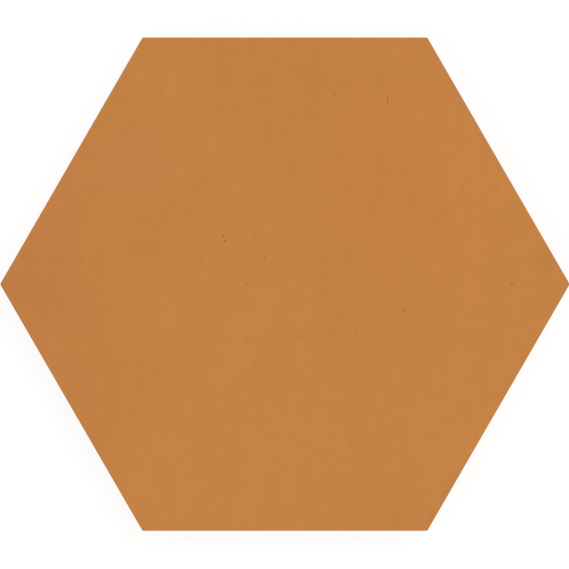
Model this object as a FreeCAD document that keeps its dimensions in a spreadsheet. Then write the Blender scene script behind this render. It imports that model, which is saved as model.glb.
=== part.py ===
import FreeCAD, Part
import enum
import math
import os
import Sketcher

# Hexagon floor tile: one slab, dry-pressed in a steel die and fired without a glaze.
#
# Millimetres, +Z up. The tile lies face up, as it is laid. The origin is the middle of its back, and +X
# runs through a corner, so two of the flat sides face +Y and -Y.

DRIVING_SIZES = (
    ("across_flats", 200, "from one flat side to the opposite one, at the face"),
    ("thickness", 12, "from the back to the face"),
    ("corner_radius", 0.8, "rounding of the six corners, seen from above"),
    ("edge_band", 7, "straight part of the side, down from the face"),
    ("side_inset", 0.4, "how far the side leans in below the band, so that the die lets go"),
    ("face_arris", 0.4, "radius where the side meets the face"),
    ("back_arris", 0.3, "radius where the side meets the back"),
    ("key_margin", 14, "plain width of the back between its flat sides and the outermost recesses"),
    ("key_rings", 4, "rings of recesses round the middle one"),
    ("key_rib", 3, "rib left between two recesses"),
    ("key_depth", 0.8, "depth of a recess"),
    ("key_draft", 30, "lean of a recess's walls, in degrees"),
)

# Sizes that follow from the sheet's, as the expressions that the features are bound to. Towards a flat side,
# the rings reach out by their number of pitches times cos(30), plus a recess's half width over its corners.
# The pitch is the one that brings the outermost ring to the margin.
HEXAGON_TURN = 60
BAND_FOOT = "(Sizes.thickness - Sizes.edge_band)"
KEYED_REACH = "(Sizes.across_flats / 2 - Sizes.side_inset - Sizes.key_margin)"
RING_PITCHES = "(Sizes.key_rings * cos(30) + 1 / sqrt(3))"
PITCH = f"(({KEYED_REACH} + Sizes.key_rib / sqrt(3)) / {RING_PITCHES})"
RECESS_HALF_FLATS = f"(({PITCH} - Sizes.key_rib) / 2)"
UP = FreeCAD.Vector(0, 0, 1)


class Point(enum.IntEnum):
    """How the sketcher numbers the points of a line, arc or circle."""

    START = 1
    END = 2
    CENTRE = 3


X_AXIS = -1
ORIGIN = (X_AXIS, Point.START)

doc = FreeCAD.newDocument("HexagonFloorTile")

# The sheet: name, value and meaning of each size that can be set by itself
sheet = doc.addObject("Spreadsheet::Sheet", "Sizes")
for line, (name, value, meaning) in enumerate(DRIVING_SIZES, start=1):
    sheet.set(f"A{line}", name)
    sheet.set(f"B{line}", str(value))
    sheet.setAlias(f"B{line}", name)
    sheet.set(f"C{line}", meaning)
doc.recompute()

tile = doc.addObject("PartDesign::Body", "Tile")
tile.Label = "tile"


def origin_feature(role):
    """The body's own origin plane or axis of that role."""
    return next(feature for feature in tile.Origin.OriginFeatures if feature.Role == role)


def size(expression):
    """What an expression comes to with the sheet's values."""
    return float(sheet.evalExpression(expression))


def level_vector(degrees, length):
    """A level vector, turned that far from +X."""
    angle = math.radians(degrees)
    return FreeCAD.Vector(math.cos(angle), math.sin(angle), 0) * length


def level_sketch(name, height="0"):
    """An empty sketch that lies level at a height above the back."""
    sketch = tile.newObject("Sketcher::SketchObject", name)
    sketch.AttachmentSupport = [(origin_feature("XY_Plane"), "")]
    sketch.MapMode = "FlatFace"
    sketch.setExpression("AttachmentOffset.Base.z", height)
    return sketch


def bind(sketch, *references, to, name):
    """Adds a dimension to a sketch, at its present size, and binds it to an expression."""
    kind, *elements = references
    index = sketch.addConstraint(Sketcher.Constraint(kind, *elements, size(to)))
    sketch.renameConstraint(index, name)
    sketch.setExpression(f"Constraints.{name}", to)


def tie(sketch, *references):
    """Adds a constraint that has no size to a sketch."""
    sketch.addConstraint(Sketcher.Constraint(*references))


def outline_sketch(name, height):
    """The slab's outline: a regular hexagon with a corner on +X and every corner rounded."""
    sketch = level_sketch(name, height)
    half_flats = size("Sizes.across_flats") / 2
    radius = size("Sizes.corner_radius")
    centre_reach = (half_flats - radius) / math.cos(math.radians(HEXAGON_TURN / 2))
    arcs, sides = [], []
    for turn in range(0, 360, HEXAGON_TURN):
        centre = level_vector(turn, centre_reach)
        next_centre = level_vector(turn + HEXAGON_TURN, centre_reach)
        from_angle = math.radians(turn - HEXAGON_TURN / 2)
        to_angle = math.radians(turn + HEXAGON_TURN / 2)
        out_to_side = level_vector(turn + HEXAGON_TURN / 2, radius)
        arc = Part.ArcOfCircle(Part.Circle(centre, UP, radius), from_angle, to_angle)
        side = Part.LineSegment(centre + out_to_side, next_centre + out_to_side)
        arcs.append(sketch.addGeometry(arc, False))
        sides.append(sketch.addGeometry(side, False))
    guide = sketch.addGeometry(Part.Circle(FreeCAD.Vector(), UP, centre_reach), True)

    tie(sketch, "Coincident", guide, Point.CENTRE, *ORIGIN)
    for arc, side, next_arc in zip(arcs, sides, arcs[1:] + arcs[:1]):
        tie(sketch, "Tangent", arc, Point.END, side, Point.START)
        tie(sketch, "Tangent", side, Point.END, next_arc, Point.START)
        tie(sketch, "PointOnObject", arc, Point.CENTRE, guide)
    for arc, side in zip(arcs[1:], sides[1:]):
        tie(sketch, "Equal", arcs[0], arc)
        tie(sketch, "Equal", sides[0], side)
    tie(sketch, "PointOnObject", arcs[0], Point.CENTRE, X_AXIS)
    bind(sketch, "Radius", arcs[0], to="Sizes.corner_radius", name="corner")
    bind(sketch, "Distance", *ORIGIN, sides[1], to="Sizes.across_flats / 2", name="half_flats")
    return sketch


def recess_sketch(name, reach=None):
    """A recess's mouth: a sharp hexagon with a flat side towards +X, at the origin or a reach along +X."""
    sketch = level_sketch(name)
    middle = FreeCAD.Vector(size(reach) if reach else 0, 0, 0)
    corner_reach = size(RECESS_HALF_FLATS) / math.cos(math.radians(HEXAGON_TURN / 2))
    first_turn = -HEXAGON_TURN // 2
    corners = [
        middle + level_vector(turn, corner_reach)
        for turn in range(first_turn, first_turn + 360, HEXAGON_TURN)
    ]
    sides = [
        sketch.addGeometry(Part.LineSegment(corner, next_corner), False)
        for corner, next_corner in zip(corners, corners[1:] + corners[:1])
    ]
    guide = sketch.addGeometry(Part.Circle(middle, UP, corner_reach), True)

    for side, next_side in zip(sides, sides[1:] + sides[:1]):
        tie(sketch, "Coincident", side, Point.END, next_side, Point.START)
        tie(sketch, "PointOnObject", side, Point.START, guide)
    for side in sides[1:]:
        tie(sketch, "Equal", sides[0], side)
    tie(sketch, "Vertical", sides[0])
    bind(sketch, "Distance", guide, Point.CENTRE, sides[0], to=RECESS_HALF_FLATS, name="half_flats")
    if reach:
        tie(sketch, "PointOnObject", guide, Point.CENTRE, X_AXIS)
        bind(sketch, "DistanceX", *ORIGIN, guide, Point.CENTRE, to=reach, name="reach")
    else:
        tie(sketch, "Coincident", guide, Point.CENTRE, *ORIGIN)
    return sketch


def recess(name, mouth):
    """Presses one recess up into the back, its walls leaning in towards its floor."""
    pocket = tile.newObject("PartDesign::Pocket", name)
    pocket.Profile = mouth
    pocket.Reversed = True
    pocket.setExpression("Length", "Sizes.key_depth")
    pocket.setExpression("TaperAngle", "-Sizes.key_draft")
    return pocket


def row_pattern(name, sketch, axis, copies):
    """Repeats at the pitch along an axis of a sketch."""
    pattern = tile.newObject("PartDesign::LinearPattern", name)
    pattern.Direction = (sketch, [axis])
    pattern.Mode = "Spacing"
    pattern.setExpression("Offset", PITCH)
    pattern.setExpression("Occurrences", copies)
    return pattern


def rounding(name, feature, facing, radius):
    """Rounds the slab's rim, all the way round the flat that lies farthest in that direction."""
    doc.recompute()
    faces = feature.Shape.Faces
    flat = max(faces, key=lambda face: face.CenterOfMass.dot(facing))
    fillet = tile.newObject("PartDesign::Fillet", name)
    fillet.Base = (feature, [f"Face{faces.index(flat) + 1}"])
    fillet.setExpression("Radius", radius)
    return fillet


# The slab: a straight band up to the face, and below it a side that leans in to the back
outline = outline_sketch("Outline", BAND_FOOT)

band = tile.newObject("PartDesign::Pad", "Band")
band.Profile = outline
band.setExpression("Length", "Sizes.edge_band")

leaning_side = tile.newObject("PartDesign::Pad", "LeaningSide")
leaning_side.Profile = outline
leaning_side.Reversed = True
leaning_side.setExpression("Length", BAND_FOOT)
leaning_side.setExpression("TaperAngle", f"-atan(Sizes.side_inset / {BAND_FOOT})")

face_rounding = rounding("FaceArris", leaning_side, UP, "Sizes.face_arris")
back_rounding = rounding("BackArris", face_rounding, -UP, "Sizes.back_arris")

# The keyed back, which the bedding mortar grips: one recess in the middle and key_rings rings round it. A
# third of the rings is a block of recesses, key_rings of them along +X by one more along 120 degrees. Thirds
# of a turn carry that block round the middle, and the rings close.
middle_recess = recess("MiddleRecess", recess_sketch("MiddleMouth"))
first_mouth = recess_sketch("FirstMouth", PITCH)
first_recess = recess("FirstRecess", first_mouth)

slanting = level_sketch("SlantingRow")
slanting_line = Part.LineSegment(FreeCAD.Vector(), level_vector(2 * HEXAGON_TURN, size(PITCH)))
slanting_axis = slanting.addGeometry(slanting_line, True)
tie(slanting, "Coincident", slanting_axis, Point.START, *ORIGIN)
slanting.addConstraint(Sketcher.Constraint("Angle", slanting_axis, math.radians(2 * HEXAGON_TURN)))
bind(slanting, "Distance", slanting_axis, to=PITCH, name="pitch")

row = row_pattern("Row", first_mouth, "H_Axis", "Sizes.key_rings")
rows = row_pattern("Rows", slanting, "Axis0", "Sizes.key_rings + 1")
thirds = tile.newObject("PartDesign::PolarPattern", "Thirds")
thirds.Axis = (origin_feature("Z_Axis"), [""])
thirds.Angle = 360
thirds.Occurrences = 3

keyed_back = tile.newObject("PartDesign::MultiTransform", "KeyedBack")
keyed_back.Originals = [first_recess]
keyed_back.Transformations = [row, rows, thirds]
tile.Tip = keyed_back
doc.recompute()

# Nothing is written unless every feature worked and the back was cut as often as the rings ask
failed = [feature.Name for feature in doc.Objects if {"Invalid", "Error"} & set(feature.State)]
if failed:
    raise RuntimeError(f"these features failed: {', '.join(failed)}")
if tile.Shape.isNull() or not tile.Shape.isValid() or len(tile.Shape.Solids) != 1:
    raise RuntimeError("the tile is not one sound solid")
one_recess = middle_recess.BaseFeature.Shape.Volume - middle_recess.Shape.Volume
recess_count = round((back_rounding.Shape.Volume - tile.Shape.Volume) / one_recess)
ring_count = round(size("Sizes.key_rings"))
if one_recess <= 0 or recess_count != 1 + 3 * ring_count * (ring_count + 1):
    raise RuntimeError(f"{recess_count} recesses were cut for {ring_count} rings")

os.makedirs("parts", exist_ok=True)
tile.Shape.exportStep(os.path.join("parts", f"{tile.Label}.step"))
print(f"{tile.Label}: {recess_count} recesses in the back, {tile.Shape.Volume / 1000:.1f} cm3")
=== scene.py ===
# %% [markdown]
# A hexagonal floor tile, lying face up.
#
# The real thing is one slab of coloured clay. A press closes a steel die on damp powder, the slab is
# dried, and the kiln turns it to stone-hard matt ochre, the same colour right through. It has no glaze,
# no joint and no second part, so all of its character is in small things: a crisp edge, a few pinholes,
# one hairline scratch and clouding so faint that it is only just there.
#
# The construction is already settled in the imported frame. This script keeps that shape and that size,
# builds the same slab again as a finer mesh whose pinholes and scratch are real hollows, and gives it its
# finish.

import math
import random

import bpy
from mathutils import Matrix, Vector, noise
from mathutils.geometry import delaunay_2d_cdt


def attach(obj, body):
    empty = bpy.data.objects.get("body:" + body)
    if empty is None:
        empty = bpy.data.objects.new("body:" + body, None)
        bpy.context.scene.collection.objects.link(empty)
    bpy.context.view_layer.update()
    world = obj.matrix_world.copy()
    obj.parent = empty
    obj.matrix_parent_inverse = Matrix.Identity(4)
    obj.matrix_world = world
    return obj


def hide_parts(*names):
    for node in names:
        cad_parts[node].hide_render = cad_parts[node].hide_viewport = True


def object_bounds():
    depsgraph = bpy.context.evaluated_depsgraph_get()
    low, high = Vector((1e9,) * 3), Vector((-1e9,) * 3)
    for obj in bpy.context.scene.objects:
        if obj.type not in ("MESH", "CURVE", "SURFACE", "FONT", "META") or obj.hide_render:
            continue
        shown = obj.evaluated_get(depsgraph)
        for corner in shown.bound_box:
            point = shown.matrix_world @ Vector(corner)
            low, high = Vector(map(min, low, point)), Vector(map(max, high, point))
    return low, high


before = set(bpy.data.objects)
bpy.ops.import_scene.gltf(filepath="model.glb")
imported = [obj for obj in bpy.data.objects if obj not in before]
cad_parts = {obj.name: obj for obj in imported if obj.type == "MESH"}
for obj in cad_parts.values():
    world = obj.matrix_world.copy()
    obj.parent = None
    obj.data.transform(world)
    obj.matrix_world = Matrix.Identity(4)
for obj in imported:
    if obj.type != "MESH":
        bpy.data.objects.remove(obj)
cad_low, cad_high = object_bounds()
MM = 0.001
THICKNESS = cad_high.z / MM
HALF_FLATS = cad_high.y / MM
print(f"the tile is {2 * HALF_FLATS:.1f} mm across its flats and {THICKNESS:.1f} mm thick")

# %% [markdown]
# The camera comes first, because everything is judged through it. The photograph looks straight down:
# both pairs of slanted sides meet the level ones at 120 degrees, so the view is square on. A long lens
# far away keeps it nearly free of perspective, and the sides of the slab stay hidden behind the face.
#
# The tile fills the picture from corner to corner. One pixel is the distance between the level sides
# divided by the pixels between them, and the camera stands where that makes the picture's width. In the
# photograph the level sides measure 493.1 pixels apart. A renderer blends a half-covered edge pixel in
# linear light, which makes it paler than halfway and a dark shape on white a little narrower, so the
# sides are set 0.4 wider here.

# %% Camera straight above the face
PICTURE_PX = 569
FLATS_PX = 493.5
TILE_RIGHT_OF_MIDDLE_PX = 0.4
TILE_ABOVE_MIDDLE_PX = 0.35
LENS_MM = 200
SENSOR_MM = 36

pixel_mm = 2 * HALF_FLATS / FLATS_PX
camera_height_mm = THICKNESS + PICTURE_PX * pixel_mm * LENS_MM / SENSOR_MM
camera = bpy.data.objects.new("camera", bpy.data.cameras.new("camera"))
camera.data.lens = LENS_MM
camera.data.sensor_width = SENSOR_MM
camera.location = Vector(
    (-TILE_RIGHT_OF_MIDDLE_PX * pixel_mm, -TILE_ABOVE_MIDDLE_PX * pixel_mm, camera_height_mm)
) * MM
bpy.context.scene.collection.objects.link(camera)
bpy.context.scene.camera = camera
print(f"one pixel is {pixel_mm:.3f} mm, and the camera is {camera_height_mm * MM:.2f} m up")

# %% [markdown]
# The outline is a regular hexagon whose corners are rounded by a little less than a millimetre, as a
# steel die's are. It could be drawn once and scaled for each level of the side, but scaling changes the
# corners' radius. Moving every point straight inward keeps the sides parallel and the edge even.
#
# So each point is kept as two things: an anchor on the smaller hexagon that joins the centres of the
# corner arcs, and a direction that points straight out. The back's recesses are hexagons too and use the
# same helper.

# %% Rounded hexagons as anchors and directions
CORNER_RADIUS = 0.8
CORNER_STEPS = 6
STATION_SPACING = 1.6
CORNER_TO_CORNER = 60  # degrees from one corner of a hexagon to the next
CORNER_TO_SIDE = 30
COS_30 = math.cos(math.radians(30))  # a hexagon's half width over its flats, for a corner's reach of 1


def towards(degrees, length=1.0):
    """A level vector, turned that far from +X."""
    angle = math.radians(degrees)
    return Vector((math.cos(angle), math.sin(angle))) * length


def hexagon_stations(half_flats, corner_radius, first_corner, corner_steps, side_steps):
    """An anchor and an outward direction for each point round a hexagon, anticlockwise."""
    reach = (half_flats - corner_radius) / COS_30
    found = []
    for turn in range(first_corner, first_corner + 360, CORNER_TO_CORNER):
        corner, next_corner = towards(turn, reach), towards(turn + CORNER_TO_CORNER, reach)
        for step in range(corner_steps + 1):
            found.append((corner, towards(turn - CORNER_TO_SIDE + CORNER_TO_CORNER * step / corner_steps)))
        for step in range(1, side_steps):
            found.append((corner.lerp(next_corner, step / side_steps), towards(turn + CORNER_TO_SIDE)))
    return found


side_steps = round(HALF_FLATS / STATION_SPACING)
outline = hexagon_stations(HALF_FLATS, CORNER_RADIUS, 0, CORNER_STEPS, side_steps)
print(f"{len(outline)} points round the outline")

# %% [markdown]
# The side of the slab is a short profile carried round those points. From the face down it is the arris,
# a soft quarter round that keeps the edge from chipping, then a straight band that sets the joint to the
# next tile, then a side that leans in so that the die lets go, and last a small round into the back.
#
# A bevel modifier could round the edges, but the arris of a pressed tile is never quite even, because
# grains of clay let go as the die opens. Written out as a profile, its radius can wander with a slow
# noise. From above that can't be seen, and from the side it takes the machined look off the edge.

# %% Profile of the side
FACE_ARRIS = 0.4
ARRIS_WANDER = 0.25
ARRIS_WANDER_LENGTH = 3.0
ARRIS_STEPS = 5
EDGE_BAND = 7.0
BAND_ROWS = 4
SIDE_INSET = 0.4
LEAN_ROWS = 3
BACK_ARRIS = 0.3
BACK_ARRIS_STEPS = 3
GUARD = 0.2

band_foot = THICKNESS - EDGE_BAND
lean = math.atan(SIDE_INSET / band_foot)
guard_inset = FACE_ARRIS * (1 + ARRIS_WANDER) + GUARD
back_round_reach = BACK_ARRIS / math.tan((math.pi / 2 + lean) / 2)
back_inset = SIDE_INSET + back_round_reach


def side_profile(arris):
    """Inset and height of each row of the side, from the flat of the face to the flat of the back."""
    rows = [(guard_inset, THICKNESS)]
    for step in range(ARRIS_STEPS + 1):
        turn = math.pi / 2 * step / ARRIS_STEPS
        rows.append((arris * (1 - math.sin(turn)), THICKNESS - arris * (1 - math.cos(turn))))
    band_top = THICKNESS - arris
    for step in range(1, BAND_ROWS + 1):
        rows.append((0.0, band_top + (band_foot - band_top) * step / BAND_ROWS))
    lean_length = band_foot / math.cos(lean) - back_round_reach
    for step in range(1, LEAN_ROWS):
        down = lean_length * step / LEAN_ROWS
        rows.append((down * math.sin(lean), band_foot - down * math.cos(lean)))
    for step in range(BACK_ARRIS_STEPS + 1):
        turn = (math.pi / 2 - lean) * (1 - step / BACK_ARRIS_STEPS)
        rows.append((back_inset - BACK_ARRIS * math.sin(turn), BACK_ARRIS * (1 - math.cos(turn))))
    return rows


print(f"{len(side_profile(FACE_ARRIS))} rows, from {guard_inset:.2f} mm inside the edge down to the back")

# %% [markdown]
# The face is flat, but it isn't blank. Air that was trapped in the powder leaves pinholes from half a
# millimetre to a millimetre wide, some deep and some only dents. The ones that the photograph shows stand
# where it shows them, in millimetres from the middle of the tile. Between them come smaller ones,
# scattered by a seeded draw so that every run gives the same tile. Most of those are tiny, because the
# random number is cubed before it sets the radius.
#
# Each pinhole could be painted as a dark dot. A real hollow is better: it catches its shadow from the
# light and stays a hole when the tile is seen from close by or from the side.

# %% Where the pinholes are
PINHOLES = (  # x, y, radius and depth
    (20.0, 77.0, 0.34, 0.27),
    (58.0, 82.5, 0.30, 0.19),
    (21.5, 59.0, 0.33, 0.13),
    (32.5, 41.5, 0.28, 0.14),
    (-25.0, 19.5, 0.36, 0.27),
    (-24.5, 17.5, 0.31, 0.39),
    (-8.0, 10.5, 0.35, 0.29),
    (-15.5, 0.0, 0.40, 0.18),
    (5.0, -9.5, 0.25, 0.24),
    (48.5, -10.5, 0.43, 0.24),
    (29.0, -19.5, 0.54, 0.12),
    (-15.0, -23.0, 0.29, 0.24),
    (92.0, 0.0, 0.34, 0.32),
    (7.0, -28.0, 0.32, 0.12),
    (-43.5, -30.5, 0.28, 0.17),
    (-59.5, -82.0, 0.32, 0.16),
    (72.0, 40.5, 0.28, 0.19),
    (102.5, -4.0, 0.30, 0.14),
    (-13.5, -22.0, 0.28, 0.19),
)
SMALL_PINHOLE_COUNT = 120
SMALL_PINHOLE_RADII = (0.05, 0.22)
SMALL_PINHOLE_DEPTH_PER_RADIUS = 0.9
PINHOLE_SPACING = 2.5
CORNER_REACH = 1.2  # times the half flats, and so a little past the corners
SCRATCH_X = 41.6
PINHOLE_SEED = 7
draw = random.Random(PINHOLE_SEED)


def rim_distance(point):
    """How far a plan point lies inside the nearest flat side."""
    sides = range(CORNER_TO_SIDE, 360, CORNER_TO_CORNER)
    return min(HALF_FLATS - point.dot(towards(turn)) for turn in sides)


pinholes = [(Vector((x, y)), radius, depth) for x, y, radius, depth in PINHOLES]
while len(pinholes) < len(PINHOLES) + SMALL_PINHOLE_COUNT:
    spot = Vector((draw.uniform(-CORNER_REACH, CORNER_REACH), draw.uniform(-1, 1))) * HALF_FLATS
    alone = all((spot - other).length > PINHOLE_SPACING for other, _, _ in pinholes)
    if alone and rim_distance(spot) > PINHOLE_SPACING and abs(spot.x - SCRATCH_X) > PINHOLE_SPACING:
        least, most = SMALL_PINHOLE_RADII
        radius = least + (most - least) * draw.random() ** 3
        pinholes.append((spot, radius, radius * SMALL_PINHOLE_DEPTH_PER_RADIUS))
print(f"{len(pinholes)} pinholes, {len(PINHOLES)} of them placed by hand")

# %% [markdown]
# The face's mesh needs fine triangles round each pinhole and coarse ones between them. A subdivided grid
# would need millions of faces for that. Delaunay triangulation does it from nothing but a cloud of
# points, because it joins each point to its nearest neighbours.
#
# The cloud starts with the innermost row of the side, so that face and side share their points. Each
# pinhole then adds rings that go down like a bowl, each point a little off its circle, for no pinhole is
# quite round.

# %% Points of the pinholes
BOWL_RINGS = (  # radii out from the middle, share of the depth, and how many points
    (2.2, 0.0, 8),
    (1.2, 0.0, 10),
    (0.85, 0.45, 10),
    (0.5, 0.85, 8),
    (0.0, 1.0, 1),
)
UNEVEN = (0.85, 1.15)

cloud, hollows = [], []


def add_point(point, hollow=0.0):
    """Adds a point of the face, with the depth of the hollow there, and returns its number."""
    cloud.append(point)
    hollows.append(hollow)
    return len(cloud) - 1


for anchor, outward in outline:
    add_point(anchor + outward * (CORNER_RADIUS - guard_inset))
for centre, radius, depth in pinholes:
    first_angle = draw.uniform(0, 360)
    for reach, depth_share, count in BOWL_RINGS:
        for step in range(count):
            out = radius * reach * draw.uniform(*UNEVEN)
            add_point(centre + towards(first_angle + 360 * step / count, out), depth * depth_share)
print(f"{len(cloud)} points for the rim of the face and the pinholes")

# %% [markdown]
# The hairline runs down the face for about a centimetre, near the right end of the upper side. Its upper
# third is dark enough to see, and the rest is only just there. A painted line would have no depth, so it
# is a groove as well: three lines of points side by side, of which the middle one lies lowest.
#
# The triangles must not jump across the groove. Pairs of neighbouring points along it are therefore given
# to the triangulation as edges that it has to keep.

# %% Points of the scratch
SCRATCH = (  # y and half the width there, from its top to its lower end
    (76.4, 0.06),
    (76.2, 0.095),
    (74.0, 0.075),
    (73.7, 0.018),
    (67.0, 0.015),
)
SCRATCH_TIPS = (76.8, 66.6)
SCRATCH_STEP = 0.45
SCRATCH_BEND = 0.04
SCRATCH_BEND_LENGTH = 2.5
SCRATCH_DEPTH_PER_WIDTH = 2.0


def scratch_point(y, sideways=0.0):
    """A plan point on the scratch or beside it."""
    bend = SCRATCH_BEND * noise.noise(Vector((0, y / SCRATCH_BEND_LENGTH, 0)))
    return Vector((SCRATCH_X + bend + sideways, y))


top_tip, low_tip = (add_point(scratch_point(y)) for y in SCRATCH_TIPS)
grooves = {side: [top_tip] for side in (-1, 0, 1)}
stretches = zip(SCRATCH, SCRATCH[1:] + SCRATCH[-1:])  # the last one has no length, and adds its point
for (y, half), (next_y, next_half) in stretches:
    steps = max(1, round((y - next_y) / SCRATCH_STEP))
    for step in range(steps):
        here_y = y + (next_y - y) * step / steps
        here_half = half + (next_half - half) * step / steps
        for side, line in grooves.items():
            depth = 0.0 if side else 2 * here_half * SCRATCH_DEPTH_PER_WIDTH
            line.append(add_point(scratch_point(here_y, side * here_half), depth))
kept_edges = [pair for line in grooves.values() for pair in zip(line, line[1:] + [low_tip])]
print(f"{len(kept_edges)} edges keep the scratch in one piece")

# %% [markdown]
# Between the marks the face is filled with a lattice of even triangles, left out where a mark has put its
# own closer points. The lattice is also what lets the face be a little less than perfect: drying and
# firing leave a pressed face with waves a few hundredths of a millimetre deep, which only a low light
# shows.

# %% Lattice between the marks
LATTICE = 1.7
LATTICE_ROW = LATTICE * COS_30
MARK_MARGIN = 0.5


def near_a_mark(spot):
    """True where a pinhole or the scratch has points of its own."""
    beside_scratch = abs(spot.x - SCRATCH_X) < MARK_MARGIN
    along_scratch = SCRATCH_TIPS[1] - MARK_MARGIN < spot.y < SCRATCH_TIPS[0] + MARK_MARGIN
    if beside_scratch and along_scratch:
        return True
    widest = BOWL_RINGS[0][0]
    return any((spot - centre).length < widest * radius + MARK_MARGIN for centre, radius, _ in pinholes)


columns, rows = math.ceil(CORNER_REACH * HALF_FLATS / LATTICE), math.ceil(HALF_FLATS / LATTICE_ROW)
marked_count = len(cloud)
for row in range(-rows, rows + 1):
    for column in range(-columns, columns + 1):
        spot = Vector(((column + row % 2 / 2) * LATTICE, row * LATTICE_ROW))
        if rim_distance(spot) > guard_inset + LATTICE / 2 and not near_a_mark(spot):
            add_point(spot)
print(f"{len(cloud) - marked_count} points between the marks")

# %% [markdown]
# Now the slab can be put together. Every part of its skin joins the next along shared points: the face,
# the rows of the side, the flat of the back and the recesses in it. A solid that is closed in this way
# can be printed, cut or simulated, which a face laid loosely on a box can't.
#
# The first piece is the triangulated face. Its heights come from one function, which lays the slow wave
# over the flat and takes the hollows away.

# %% Face
WAVE_DEPTH = 0.05
WAVE_LENGTH = 38.0
WAVE_EASE = 8.0
INSIDE_ONLY = 1  # the triangulation's own number for leaving out what is outside the rims
SAME_POINT = 1e-6  # millimetres within which two points are taken for one

points, faces, pit_depths = [], [], []


def face_height(point, hollow):
    """Height of the face at a plan point: the wave starts at the rim, and a hollow goes down from it."""
    ease = min(1.0, max(0.0, rim_distance(point) - guard_inset) / WAVE_EASE)
    wave = 0.5 + 0.5 * noise.noise(Vector((point.x, point.y, 0)) / WAVE_LENGTH)
    return THICKNESS - WAVE_DEPTH * wave * ease * ease * (3 - 2 * ease) - hollow


def triangulate(plan_points, edges, rims):
    """Fills the first rim with triangles, without crossing an edge that is to be kept.

    Gives the points, the triangles, the numbers that each point had, and the rims round each triangle.
    """
    filled = delaunay_2d_cdt(plan_points, edges, rims, INSIDE_ONLY, SAME_POINT)
    plan, _, triangles, sources, _, inside = filled
    return plan, triangles, sources, inside


rim = list(range(len(outline)))
plan, triangles, sources, _ = triangulate(cloud, kept_edges, [rim])
face_number = {}
for spot, source in zip(plan, sources):
    hollow = max((hollows[number] for number in source), default=0.0)
    for number in source:
        face_number[number] = len(points)
    points.append((spot.x, spot.y, face_height(spot, hollow)))
    pit_depths.append(hollow)
faces += [tuple(triangle) for triangle in triangles]
print(f"the face has {len(faces)} triangles")

# %% [markdown]
# The side follows as rings of points, each joined to the one below by a band of quads. The first ring is
# the rim of the face that is already there.

# %% Side


def add_ring(ring):
    """Adds points in space and returns their numbers."""
    first = len(points)
    points.extend(ring)
    return list(range(first, len(points)))


def join_rings(upper, lower):
    """Quads from one ring to the next on the way from face to back, with their outer side outward."""
    for a, b, c, d in zip(upper, upper[1:] + upper[:1], lower[1:] + lower[:1], lower):
        faces.append((d, c, b, a))


def arris_at(anchor):
    """The arris's radius beside an anchor."""
    wander = noise.noise(Vector((anchor.x, anchor.y, 0)) / ARRIS_WANDER_LENGTH)
    return FACE_ARRIS * (1 + ARRIS_WANDER * max(-1.0, min(1.0, wander)))


profiles = [side_profile(arris_at(anchor)) for anchor, _ in outline]
ring = [face_number[number] for number in rim]
for row in range(1, len(profiles[0])):
    line = []
    for (anchor, outward), profile in zip(outline, profiles):
        inset, height = profile[row]
        spot = anchor + outward * (CORNER_RADIUS - inset)
        line.append((spot.x, spot.y, height))
    lower_ring = add_ring(line)
    join_rings(ring, lower_ring)
    ring = lower_ring
back_rim = ring
print(f"the side has {len(profiles[0]) - 1} bands of {len(outline)} quads")

# %% [markdown]
# The back is never seen on a laid floor, and the photograph doesn't show it. A pressed tile has a pattern
# of shallow recesses there, so that the bed it is laid in can grip. Here it is a honeycomb: four rings of
# hexagons round the middle one, with ribs between them and a plain margin outside. Towards a flat side,
# each ring reaches cos(30) of the pitch further out, and the outermost recess ends at its own corner. The
# pitch is the one that brings that corner to the margin.
#
# Booleans could cut the recesses, but they leave ragged triangles. Each recess is instead a short stack
# of rings, from its rounded mouth along its sloping wall to its floor, and the flat between the mouths is
# triangulated once round all of them.

# %% Layout of the recesses
KEY_MARGIN = 14.0
KEY_RINGS = 4
KEY_RIB = 3.0
KEY_DEPTH = 0.8
KEY_DRAFT = math.radians(30)
KEY_CORNER = 1.0
MOUTH_ROUND = 0.25
FLOOR_ROUND = 0.3
ROUND_STEPS = 3

keyed_reach = HALF_FLATS - SIDE_INSET - KEY_MARGIN
pitch = (keyed_reach + KEY_RIB / math.sqrt(3)) / (KEY_RINGS * COS_30 + 1 / math.sqrt(3))
recess_half_flats = (pitch - KEY_RIB) / 2
wall_turn = math.pi / 2 - KEY_DRAFT


def recess_profile():
    """How far inside the mouth, and how high, each ring of a recess is."""
    half_turn = math.tan(wall_turn / 2)
    rows = []
    for step in range(ROUND_STEPS + 1):
        turn = wall_turn * step / ROUND_STEPS
        inset = MOUTH_ROUND * (math.sin(turn) - half_turn)
        rows.append((inset, MOUTH_ROUND * (1 - math.cos(turn))))
    floor_inset = KEY_DEPTH * math.tan(KEY_DRAFT) + FLOOR_ROUND * half_turn
    for step in range(ROUND_STEPS + 1):
        turn = wall_turn * (1 - step / ROUND_STEPS)
        inset = floor_inset - FLOOR_ROUND * math.sin(turn)
        rows.append((inset, KEY_DEPTH - FLOOR_ROUND * (1 - math.cos(turn))))
    return rows


steps_out = range(-KEY_RINGS, KEY_RINGS + 1)
middles = [
    towards(0, pitch * along) + towards(2 * CORNER_TO_CORNER, pitch * across)
    for along in steps_out
    for across in steps_out
    if abs(along - across) <= KEY_RINGS
]
print(f"{len(middles)} recesses, {2 * recess_half_flats:.2f} mm across and {pitch:.2f} mm apart")

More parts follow.
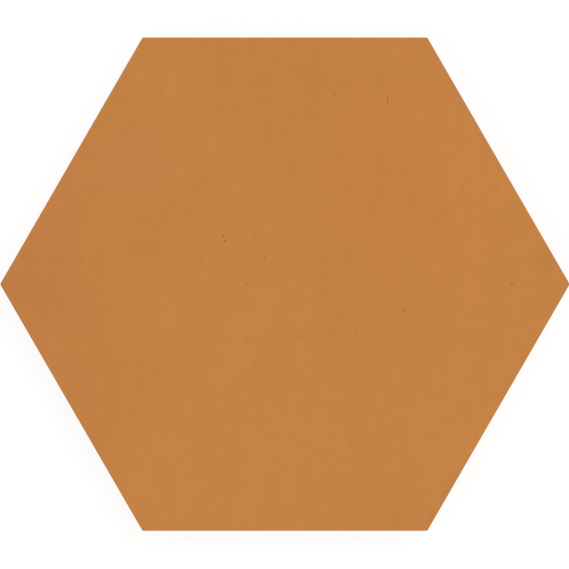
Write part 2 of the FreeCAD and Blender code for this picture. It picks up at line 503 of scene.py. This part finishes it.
# %% Flat of the back and recesses
recess = hexagon_stations(
    recess_half_flats, KEY_CORNER, first_corner=CORNER_TO_SIDE, corner_steps=ROUND_STEPS, side_steps=1)
land, land_numbers, mouth_rims = [], [], []
for number in back_rim:
    land.append(Vector(points[number][:2]))
    land_numbers.append(number)
for middle in middles:
    rings = [
        add_ring([
            (*(middle + anchor + outward * (KEY_CORNER - inset)), height)
            for anchor, outward in recess
        ])
        for inset, height in recess_profile()
    ]
    for outer, inner in zip(rings, rings[1:]):
        join_rings(outer, inner)
    faces.append(tuple(reversed(rings[-1])))
    mouth_rims.append(list(range(len(land), len(land) + len(recess))))
    land += [Vector(points[number][:2]) for number in rings[0]]
    land_numbers += rings[0]

_, triangles, sources, inside = triangulate(land, [], [rim] + mouth_rims)
ONLY_THE_RIM = [0]  # what is round a triangle that lies in no mouth
flat = [triangle for triangle, around in zip(triangles, inside) if list(around) == ONLY_THE_RIM]
for triangle in flat:
    faces.append(tuple(land_numbers[sources[corner][0]] for corner in reversed(triangle)))
print(f"{len(flat)} triangles in the flat of the back")

# %% [markdown]
# The points are in millimetres up to here, because that is how a tile is drawn. Blender works in metres,
# so they are scaled once as the mesh is made. Shading is smooth over the small rounds and crisp where two
# faces meet at more than 30 degrees, such as at the lips of the pinholes.
#
# The new mesh takes the imported tile's place: it rides on the root body, the imported tile is hidden,
# and the finish comes later, in a material slot of its own.

# %% One closed mesh
SHARP_ANGLE = math.radians(30)

mesh = bpy.data.meshes.new("fired_tile")
mesh.from_pydata([Vector(point) * MM for point in points], [], faces)
mesh.shade_smooth()
mesh.set_sharp_from_angle(angle=SHARP_ANGLE)
pit_depths += [0.0] * (len(points) - len(pit_depths))
mesh.attributes.new("pit_depth", "FLOAT", "POINT").data.foreach_set("value", pit_depths)
tile = bpy.data.objects.new("fired_tile", mesh)
bpy.context.scene.collection.objects.link(tile)
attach(tile, "root")
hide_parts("tile")

faces_at_edge = {}
for polygon in mesh.polygons:
    for key in polygon.edge_keys:
        faces_at_edge[key] = faces_at_edge.get(key, 0) + 1
open_edges = sum(count != 2 for count in faces_at_edge.values())
triangle_count = sum(len(polygon.vertices) - 2 for polygon in mesh.polygons)
print(f"{triangle_count} triangles, {open_edges} edges that don't join exactly two faces")

# %% [markdown]
# The finish is a material made of nodes. One helper adds a node: its settings are the node's own
# properties, and its inputs are values or the outputs of other nodes. A second helper turns the hex
# colours that a painter would quote into the linear values that light is computed with. A Mix node has
# sockets for numbers, vectors and colours side by side, so those for colours are given by their place.

# %% Helpers for materials
FIRST_COLOUR, SECOND_COLOUR, MIXED_COLOUR = 6, 7, 2


def node(tree, kind, inputs=None, **settings):
    """Adds a node to a tree, with its settings and with values or links for its inputs."""
    made = tree.nodes.new(kind)
    for name, value in settings.items():
        setattr(made, name, value)
    for name, value in (inputs or {}).items():
        if isinstance(value, bpy.types.NodeSocket):
            tree.links.new(value, made.inputs[name])
        else:
            made.inputs[name].default_value = value
    return made


def linear(hex_colour):
    """An sRGB hex colour as linear red, green, blue and alpha."""
    parts = [int(hex_colour[start:start + 2], 16) / 255 for start in (1, 3, 5)]
    parts = [part / 12.92 if part <= 0.04045 else ((part + 0.055) / 1.055) ** 2.4 for part in parts]
    return parts + [1.0]


print("middle grey in linear light:", [round(part, 3) for part in linear("#808080")])

# %% [markdown]
# The clay is an unglazed ochre body, dry-pressed and fired. Iron gives it its brown-orange colour right
# through. Without glaze the light enters between the grains and scatters, so there is no mirror in it,
# only a weak, wide sheen at low angles. Fired clay has an index of refraction near 1.5, and a bare one a
# roughness of 0.7 to 0.9, of which a pressed face is at the smoother end. The sheen adds a little light
# to the colour, so the colour is written a little darker than the photograph's.
#
# What the eye gets from that is almost one flat colour. Almost: the powder never mixes perfectly, so
# there are clouds a few centimetres wide, streaks, and a fine mottle, each of them about one part in a
# hundred. They are added up as one number, the shade: how much lighter or darker the clay is there.

# %% Dry-pressed ochre clay: clouds, streaks and mottle
clay = bpy.data.materials.new("dry_pressed_ochre_clay")
clay.use_nodes = True
tree = clay.node_tree
tree.nodes.clear()
CLAY_COLOUR = "#BF7A32"
IOR = 1.5
ROUGHNESS = 0.75
SHADE_DETAIL = 1.0
SHADES = (  # size in millimetres along x, y and z, and how much it changes the shade
    (60.0, 60.0, 60.0, 0.030),
    (22.0, 22.0, 22.0, 0.055),
    (9.0, 45.0, 9.0, 0.070),
    (6.0, 6.0, 6.0, 0.085),
    (2.2, 2.2, 2.2, 0.090),
    (0.8, 0.8, 0.8, 0.050),
)

coordinates = node(tree, "ShaderNodeTexCoord").outputs["Object"]
shade = 0.0
for x_size, y_size, z_size, strength in SHADES:
    scaled = node(tree, "ShaderNodeMapping", {
        "Vector": coordinates, "Scale": [1 / (size * MM) for size in (x_size, y_size, z_size)],
    })
    cloud_noise = node(tree, "ShaderNodeTexNoise", {
        "Vector": scaled.outputs[0], "Scale": 1.0, "Detail": SHADE_DETAIL,
    })
    centred = node(tree, "ShaderNodeMath", {0: cloud_noise.outputs[0], 1: 0.5}, operation="SUBTRACT")
    shade = node(tree, "ShaderNodeMath", {
        0: centred.outputs[0], 1: strength, 2: shade,
    }, operation="MULTIPLY_ADD").outputs[0]
print(f"{len(SHADES)} layers of shade")

# %% [markdown]
# A few places are darker or lighter than chance would make them, and the photograph shows where: a small
# dark spot near the right corner, broad soft clouds, and three pale specks of unmixed clay. Each is a soft
# round patch with its own place, size and strength.
# Of the clouds, the darker one at the left and the two lighter ones at the right are painted shade.

# %% Dry-pressed ochre clay: patches, three of them painted shade
TONE_AND_SHADE_PATCHES = (  # x, y, radius and how much it changes the shade
    # painted shade, darker towards the left
    (-55.0, 18.0, 30.0, -0.02),
    (105.0, 10.0, 9.0, -0.07),
    (19.5, 36.0, 8.0, -0.02),
    (22.0, -22.0, 18.0, -0.03),
    (-16.0, 68.0, 20.0, -0.015),
    (0.0, 100.0, 70.0, -0.025),
    (-4.0, -53.0, 22.0, 0.015),
    (-40.0, -75.0, 60.0, 0.025),
    (-12.0, -8.0, 45.0, 0.022),
    # painted light: this one and the next, lighter towards the right
    (85.0, 45.0, 55.0, 0.035),
    (75.0, -65.0, 45.0, 0.025),
    (60.0, -10.0, 30.0, -0.01),
    (40.0, 42.0, 25.0, -0.012),
    (-57.0, -8.0, 0.5, 0.3),
    (-60.5, -34.0, 0.5, 0.3),
    (-24.5, -66.0, 0.5, 0.3),
)


def patch(x, y, radius, strength):
    """The strength in the middle of a round patch on the face, fading to 0 at its rim."""
    distance = node(tree, "ShaderNodeVectorMath", {
        0: coordinates, 1: Vector((x, y, THICKNESS)) * MM,
    }, operation="DISTANCE").outputs["Value"]
    return node(tree, "ShaderNodeMapRange", {
        "Value": distance, "From Min": radius * MM, "From Max": 0.0, "To Min": 0.0, "To Max": strength,
    }, interpolation_type="SMOOTHSTEP").outputs[0]


for x, y, radius, strength in TONE_AND_SHADE_PATCHES:
    shade = node(tree, "ShaderNodeMath", {
        0: shade, 1: patch(x, y, radius, strength),
    }, operation="ADD").outputs[0]
print(f"{len(TONE_AND_SHADE_PATCHES)} patches")

# %% [markdown]
# Here and there the powder held a grain of iron ore or a crumb of paler clay, and the press left it where
# it was. A Voronoi texture sets one point in each cube of a grid, and only a cube's own small ball round
# that point is coloured. The face and the sides cut through some of those balls, so the specks differ in
# size. Each cube's random colour makes its speck dark or pale, and about six in ten of them are dark.

# %% Dry-pressed ochre clay: specks
SPECK_SPACING = 3.8
SPECK_RADIUS = 0.7
SPECK_STRENGTH = 0.38
PALE_FROM = 0.55  # brightness of the random colour, from which up a speck is pale

specks = node(tree, "ShaderNodeTexVoronoi", {"Vector": coordinates, "Scale": 1 / (SPECK_SPACING * MM)})
in_speck = node(tree, "ShaderNodeMapRange", {
    "Value": specks.outputs["Distance"], "From Min": SPECK_RADIUS / SPECK_SPACING, "From Max": 0.0,
    "To Min": 0.0, "To Max": SPECK_STRENGTH,
}, interpolation_type="SMOOTHSTEP").outputs[0]
paleness = node(tree, "ShaderNodeMath", {0: specks.outputs["Color"], 1: PALE_FROM}, operation="SUBTRACT")
shade = node(tree, "ShaderNodeMath", {
    0: in_speck, 1: paleness.outputs[0], 2: shade,
}, operation="MULTIPLY_ADD").outputs[0]
print(f"specks up to {2 * SPECK_RADIUS:.1f} mm wide")

# %% [markdown]
# The shade only makes the colour lighter or darker. Its hue drifts as well, because iron is never spread
# quite evenly through a batch and the kiln is never equally hot all round: this tile is a little redder
# at its left corner, more orange towards the upper right, and paler towards the lower side and at the
# upper left. Its left corner is also darker, and that darkness is painted shade, darker towards the left.
# Each tint is a wide soft patch that mixes a colour only a few steps away from the clay's own into it.

# %% Dry-pressed ochre clay: tints, and painted shade at the left
TINTS_AND_SHADE = (  # x, y, radius, largest share and colour
    # these three are redder and also darker, and the darkness is painted shade towards the left
    (-115.0, 0.0, 60.0, 0.75, "#BA7432"),
    (-88.0, 45.0, 36.0, 0.4, "#BA7432"),
    (-84.0, -52.0, 40.0, 0.3, "#BA7432"),
    (50.0, 45.0, 90.0, 0.8, "#BF7830"),
    (-10.0, -75.0, 90.0, 0.6, "#C07B35"),
    (-60.0, 50.0, 24.0, 1.0, "#BF7A37"),
)

tinted_and_shaded_clay = linear(CLAY_COLOUR)
for x, y, radius, share, tint in TINTS_AND_SHADE:
    tinted_and_shaded_clay = node(tree, "ShaderNodeMix", {
        "Factor": patch(x, y, radius, share), FIRST_COLOUR: tinted_and_shaded_clay, SECOND_COLOUR: linear(tint),
    }, data_type="RGBA").outputs[MIXED_COLOUR]
print(f"{len(TINTS_AND_SHADE)} tints")

# %% [markdown]
# The hollows come last, because dust and shadow make them darker than any speck. The mesh carries each
# point's depth as an attribute, and the deeper the point, the more its colour goes over to a deep burnt
# brown. That brown is dust and painted shade, laid over the real shadow that each hollow's shape casts.
#
# Then the shade is laid over all of it. One factor for the whole colour would keep the clay as strongly
# coloured where it is light as where it is dark. On the real face the lighter places are also paler, as
# under a breath of dust, so the shade acts more strongly on blue than on red.

# %% Dry-pressed ochre clay: colour, with dust and painted shade in the hollows
# colour of dust and painted shade deep in a hollow
PIT_DUST_AND_SHADE = "#94490A"
PIT_FULL_DEPTH = 0.4
SHADE_ON_COLOUR = (0.84, 1.04, 2.3)  # how strongly it acts on red, green and blue
UNCHANGED = (1.0, 1.0, 1.0)

pit_depth = node(tree, "ShaderNodeAttribute", attribute_name="pit_depth").outputs["Fac"]
pit_dust_and_shade_share = node(tree, "ShaderNodeMapRange", {
    "Value": pit_depth, "From Min": 0.0, "From Max": PIT_FULL_DEPTH, "To Min": 0.0, "To Max": 1.0,
}).outputs[0]
with_pit_dust_and_shade = node(tree, "ShaderNodeMix", {
    "Factor": pit_dust_and_shade_share, FIRST_COLOUR: tinted_and_shaded_clay, SECOND_COLOUR: linear(PIT_DUST_AND_SHADE),
}, data_type="RGBA").outputs[MIXED_COLOUR]
factors = node(tree, "ShaderNodeVectorMath", {
    0: shade, 1: SHADE_ON_COLOUR, 2: UNCHANGED,
}, operation="MULTIPLY_ADD")
colour = node(tree, "ShaderNodeVectorMath", {0: with_pit_dust_and_shade, 1: factors.outputs[0]}, operation="MULTIPLY")
print(f"a hollow is fully dark from {PIT_FULL_DEPTH} mm down")

# %% [markdown]
# The sides carry the die's own marks. As the slab is pushed out of the die, the steel drags grains up the
# side and leaves upright lines, each a little lighter or darker than its neighbour. A noise that is
# stretched along z makes such lines. It must stay off the face and the back, and the surface's own
# direction tells them apart: its normal points up or down there and level on a side.

# %% Dry-pressed ochre clay: drag marks of the die
DRAG_MM = (0.7, 0.7, 9.0)
DRAG_DETAIL = 2.0
DRAG_SHADE = 0.09
STEEPEST_FLAT = 0.6  # height of a normal, from which down the lines begin to show
SLIGHTEST_SIDE = 0.2  # height of a normal, from which down they show fully

normal = node(tree, "ShaderNodeTexCoord").outputs["Normal"]
normal_height = node(tree, "ShaderNodeMath", {
    0: node(tree, "ShaderNodeSeparateXYZ", {0: normal}).outputs["Z"],
}, operation="ABSOLUTE").outputs[0]
on_side = node(tree, "ShaderNodeMapRange", {
    "Value": normal_height, "From Min": STEEPEST_FLAT, "From Max": SLIGHTEST_SIDE,
    "To Min": 0.0, "To Max": 1.0,
}).outputs[0]
drag_scale = node(tree, "ShaderNodeMapping", {
    "Vector": coordinates, "Scale": [1 / (size * MM) for size in DRAG_MM],
})
drag = node(tree, "ShaderNodeTexNoise", {
    "Vector": drag_scale.outputs[0], "Scale": 1.0, "Detail": DRAG_DETAIL,
})
centred_drag = node(tree, "ShaderNodeMath", {0: drag.outputs[0], 1: 0.5}, operation="SUBTRACT").outputs[0]
side_drag = node(tree, "ShaderNodeMath", {0: centred_drag, 1: on_side}, operation="MULTIPLY").outputs[0]
drag_shade = node(tree, "ShaderNodeMath", {0: side_drag, 1: DRAG_SHADE, 2: 1.0}, operation="MULTIPLY_ADD")
dragged_colour = node(tree, "ShaderNodeVectorMath", {
    0: colour.outputs[0], "Scale": drag_shade.outputs[0],
}, operation="SCALE").outputs[0]
print(f"drag marks {DRAG_MM[0]} mm wide and up to {DRAG_MM[2]:.0f} mm long")

# %% [markdown]
# The grain is the last layer. Grains of pressed clay are a tenth of a millimetre wide or finer, too fine
# for any picture of the whole tile, so they are drawn at about half a millimetre. They give the face its
# tooth: a bump node tilts the light on each of them, and some are a little rougher than others. The drag
# marks join the same bump, three times as deep.

# %% Dry-pressed ochre clay: grain and output
GRAIN_MM = 0.5
GRAIN_DETAIL = 2.0
GRAIN_DEPTH_MM = 0.03
DRAG_DEPTH_MM = 0.09
LOW_GRAIN, HIGH_GRAIN = 0.3, 0.7  # a noise seldom leaves these
ROUGHNESS_SPREAD = 0.04

grain = node(tree, "ShaderNodeTexNoise", {
    "Vector": coordinates, "Scale": 1 / (GRAIN_MM * MM), "Detail": GRAIN_DETAIL,
}).outputs[0]
relief = node(tree, "ShaderNodeMath", {
    0: side_drag, 1: DRAG_DEPTH_MM / GRAIN_DEPTH_MM, 2: grain,
}, operation="MULTIPLY_ADD").outputs[0]
bump = node(tree, "ShaderNodeBump", {"Height": relief, "Strength": 1.0, "Distance": GRAIN_DEPTH_MM * MM})
rough = node(tree, "ShaderNodeMapRange", {
    "Value": grain, "From Min": LOW_GRAIN, "From Max": HIGH_GRAIN,
    "To Min": ROUGHNESS - ROUGHNESS_SPREAD, "To Max": ROUGHNESS + ROUGHNESS_SPREAD,
}).outputs[0]
shader = node(tree, "ShaderNodeBsdfPrincipled", {
    "Base Color": dragged_colour,
    "Roughness": rough,
    "IOR": IOR,
    "Normal": bump.outputs[0],
})
node(tree, "ShaderNodeOutputMaterial", {"Surface": shader.outputs[0]})
mesh.materials.append(clay)
print(f"the clay has {len(tree.nodes)} nodes")

# %% [markdown]
# The tile lies on a plain white floor under soft light. White is reached in the floor's own material: for
# rays from the camera and from reflections, most of what the floor shows is a plain white light of its
# own, and the rest is the light that falls on it. That makes it white and still leaves the tile its soft
# shadow. The floor's own white takes over altogether a little way out, past the reach of the shadow, so
# that no grey edge of the lamps' light shows. The tile itself only gets what a matt white floor really
# throws back.

# %% White floor
FLOOR_SIZE = 6.0
FLOOR_COLOUR = "#F2F2F2"
WHITE = linear("#FFFFFF")
NEAR_WHITE_SHARE = 0.84
OWN_WHITE_STRENGTH = 1.04
SHADOW_REACH = (0.13, 0.30)  # metres from the tile's middle: the shadow starts to thin, and ends


def seen_directly(tree):
    """1 for rays from the camera, a reflection or glass, and 0 for the rest."""
    path = node(tree, "ShaderNodeLightPath").outputs
    seen = node(tree, "ShaderNodeMath", {
        0: path["Is Camera Ray"], 1: path["Is Glossy Ray"],
    }, operation="MAXIMUM")
    return node(tree, "ShaderNodeMath", {
        0: seen.outputs[0], 1: path["Is Transmission Ray"],
    }, operation="MAXIMUM").outputs[0]


paper = bpy.data.materials.new("matt_white_paper")
paper.use_nodes = True
tree = paper.node_tree
tree.nodes.clear()
from_tile = node(tree, "ShaderNodeVectorMath", {
    0: node(tree, "ShaderNodeTexCoord").outputs["Object"],
}, operation="LENGTH").outputs["Value"]
own_share = node(tree, "ShaderNodeMapRange", {
    "Value": from_tile, "From Min": SHADOW_REACH[0], "From Max": SHADOW_REACH[1],
    "To Min": NEAR_WHITE_SHARE, "To Max": 1.0,
}, interpolation_type="SMOOTHSTEP").outputs[0]
share = node(tree, "ShaderNodeMath", {0: seen_directly(tree), 1: own_share}, operation="MULTIPLY")
own_white = node(tree, "ShaderNodeEmission", {"Color": WHITE, "Strength": OWN_WHITE_STRENGTH})
matt = node(tree, "ShaderNodeBsdfDiffuse", {"Color": linear(FLOOR_COLOUR)})
both = node(tree, "ShaderNodeMixShader", {
    0: share.outputs[0], 1: matt.outputs[0], 2: own_white.outputs[0],
})
node(tree, "ShaderNodeOutputMaterial", {"Surface": both.outputs[0]})

half = FLOOR_SIZE / 2
floor_mesh = bpy.data.meshes.new("floor")
floor_corners = [(-half, -half, 0), (half, -half, 0), (half, half, 0), (-half, half, 0)]
floor_mesh.from_pydata(floor_corners, [], [(0, 1, 2, 3)])
floor_mesh.materials.append(paper)
floor = bpy.data.objects.new("floor", floor_mesh)
bpy.context.scene.collection.objects.link(floor)
print(f"the floor is {FLOOR_SIZE:.0f} m wide")

# %% [markdown]
# The light is a plain studio: an even white surrounding that does most of the work, and two large soft
# lamps that give it a direction. A white surrounding of strength 1 alone would render each colour as it
# is written, so the strengths of the world and the lamps are shares of that light on the face.
#
# A lamp's share is easy to work out. A small lamp of power P and a distance d away, facing the tile,
# gives P / (pi d^2) on a surface that faces it, and a white surrounding gives pi. Lamps as large and as
# near as these give about a tenth less than that, so the shares are written to add up to a little over 1.

# %% Soft light
WORLD_SHARE = 0.62
LAMPS = (  # name, azimuth, elevation, distance in metres, width in metres and share
    ("key", 40, 60, 2.0, 1.2, 0.293),
    ("fill", 215, 55, 2.4, 1.6, 0.13),
)

world = bpy.data.worlds.new("studio")
world.use_nodes = True
bpy.context.scene.world = world
tree = world.node_tree
tree.nodes.clear()
strength = node(tree, "ShaderNodeMapRange", {
    "Value": seen_directly(tree), "To Min": WORLD_SHARE, "To Max": 1.0,
})
background = node(tree, "ShaderNodeBackground", {"Color": WHITE, "Strength": strength.outputs[0]})
node(tree, "ShaderNodeOutputWorld", {"Surface": background.outputs[0]})

for name, azimuth, elevation, away, width, share in LAMPS:
    light = bpy.data.lights.new(name, "AREA")
    light.shape = "SQUARE"
    light.size = width
    light.energy = share * math.pi * math.pi * away ** 2 / math.sin(math.radians(elevation))
    lamp = bpy.data.objects.new(name, light)
    level = towards(azimuth, away * math.cos(math.radians(elevation)))
    lamp.location = (level.x, level.y, away * math.sin(math.radians(elevation)))
    lamp.rotation_euler = lamp.location.to_track_quat("Z", "Y").to_euler()
    bpy.context.scene.collection.objects.link(lamp)
    print(f"the {name} lamp is {light.energy:.1f} W")

bpy.context.scene.view_settings.view_transform = "Standard"
